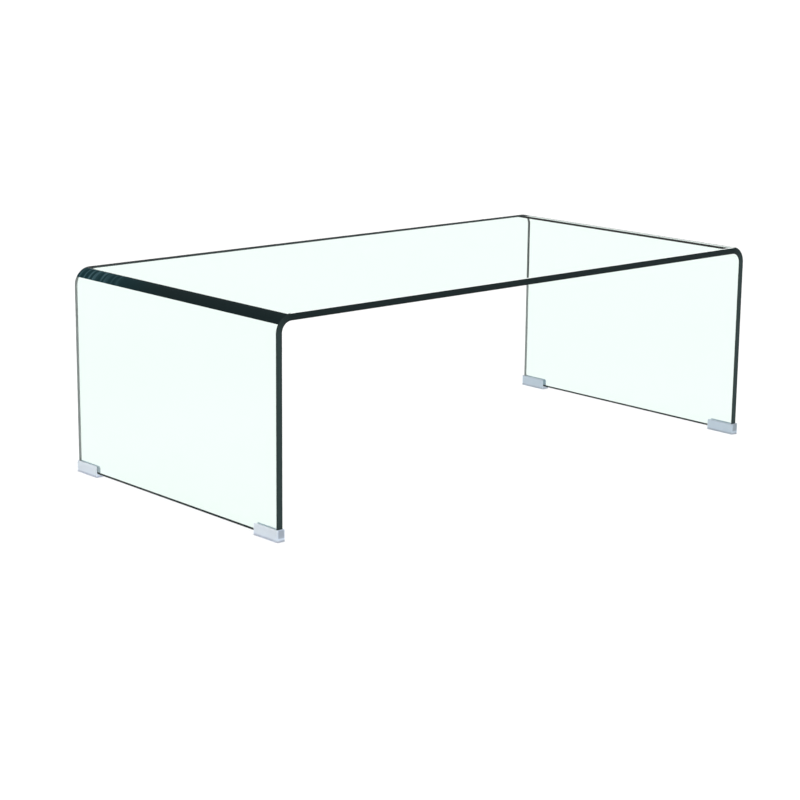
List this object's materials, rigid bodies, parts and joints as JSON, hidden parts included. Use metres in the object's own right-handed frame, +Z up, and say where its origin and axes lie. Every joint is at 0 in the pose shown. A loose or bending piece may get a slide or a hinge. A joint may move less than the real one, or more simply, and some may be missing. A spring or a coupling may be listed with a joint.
{
  "type": "coffee table",
  "caption": "Low rectangular table: a clear glass sheet bent down at both ends to form its own legs, open at front and back, with clear plastic corner caps as feet.",
  "frame": {"origin": "on the floor, under the middle of the table", "axes": "+X along the table's length, +Y from its front to its back, +Z up"},
  "size_m": [1.1032, 0.5568, 0.356],
  "materials": {
    "glass": "clear, polished, faintly green",
    "cap_plastic": "moulded, translucent, satin",
    "adhesive": "clear, soft"
  },
  "bodies": {
    "root": {"bent_glass": "glass", "front_left_foot": "cap_plastic", "front_right_foot": "cap_plastic", "back_left_foot": "cap_plastic", "back_right_foot": "cap_plastic", "front_left_pad": "adhesive", "front_right_pad": "adhesive", "back_left_pad": "adhesive", "back_right_pad": "adhesive"}
  },
  "joints": []
}
